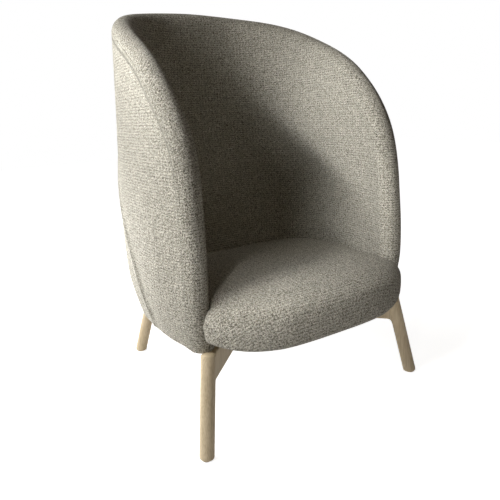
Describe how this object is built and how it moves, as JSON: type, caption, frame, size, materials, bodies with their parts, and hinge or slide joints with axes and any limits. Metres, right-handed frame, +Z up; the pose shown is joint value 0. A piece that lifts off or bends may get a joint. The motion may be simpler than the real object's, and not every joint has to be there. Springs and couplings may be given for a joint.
{
  "type": "lounge chair",
  "caption": "High-backed lounge chair: padded shell wrapping round a deep seat cushion, with a rolled rim, on a wooden cross base with round splayed legs and glides.",
  "frame": {"origin": "on the floor, at the centre of the chair's footprint", "axes": "+Z up, the sitter faces -Y, X across with X = 0 the plane of symmetry"},
  "size_m": [0.82, 0.8533, 1.1965],
  "materials": {
    "woven_fabric": "coarse woven upholstery wool, warm beige-grey",
    "soaped_oak": "pale oak, soap finished, matte",
    "plywood": "raw beech plywood",
    "black_cloth": "black non-woven dust cloth",
    "elastic_webbing": "dark elastic seat webbing",
    "zinc_plated_steel": "zinc plated, satin",
    "glide_plastic": "dark moulded plastic, matte"
  },
  "bodies": {
    "root": {"cross_rail_left": "soaped_oak", "cross_rail_right": "soaped_oak", "leg_front_left": "soaped_oak", "glide_front_left": "glide_plastic", "leg_front_right": "soaped_oak", "glide_front_right": "glide_plastic", "leg_rear_right": "soaped_oak", "glide_rear_right": "glide_plastic", "leg_rear_left": "soaped_oak", "glide_rear_left": "glide_plastic", "bolt_front_left": "zinc_plated_steel", "washer_front_left": "zinc_plated_steel", "flanged_nut_front_left": "zinc_plated_steel", "bolt_rear_right": "zinc_plated_steel", "washer_rear_right": "zinc_plated_steel", "flanged_nut_rear_right": "zinc_plated_steel", "bolt_front_right": "zinc_plated_steel", "washer_front_right": "zinc_plated_steel", "flanged_nut_front_right": "zinc_plated_steel", "bolt_rear_left": "zinc_plated_steel", "washer_rear_left": "zinc_plated_steel", "flanged_nut_rear_left": "zinc_plated_steel", "platform_screw_left_1": "zinc_plated_steel", "core_screw_left_1": "zinc_plated_steel", "bracket_left_1": "zinc_plated_steel", "platform_screw_left_2": "zinc_plated_steel", "core_screw_left_2": "zinc_plated_steel", "bracket_left_2": "zinc_plated_steel", "platform_screw_left_3": "zinc_plated_steel", "core_screw_left_3": "zinc_plated_steel", "bracket_left_3": "zinc_plated_steel", "platform_screw_right_1": "zinc_plated_steel", "core_screw_right_1": "zinc_plated_steel", "bracket_right_1": "zinc_plated_steel", "platform_screw_right_2": "zinc_plated_steel", "core_screw_right_2": "zinc_plated_steel", "bracket_right_2": "zinc_plated_steel", "platform_screw_right_3": "zinc_plated_steel", "core_screw_right_3": "zinc_plated_steel", "bracket_right_3": "zinc_plated_steel", "seat_platform": "plywood", "dust_cover": "black_cloth", "webbing_1": "elastic_webbing", "webbing_2": "elastic_webbing", "webbing_3": "elastic_webbing", "shell_core": "plywood", "inside_upholstery": "woven_fabric", "outside_left_panel": "woven_fabric", "outside_right_panel": "woven_fabric", "outside_back_panel": "woven_fabric", "seat_cushion": "woven_fabric"}
  },
  "joints": []
}
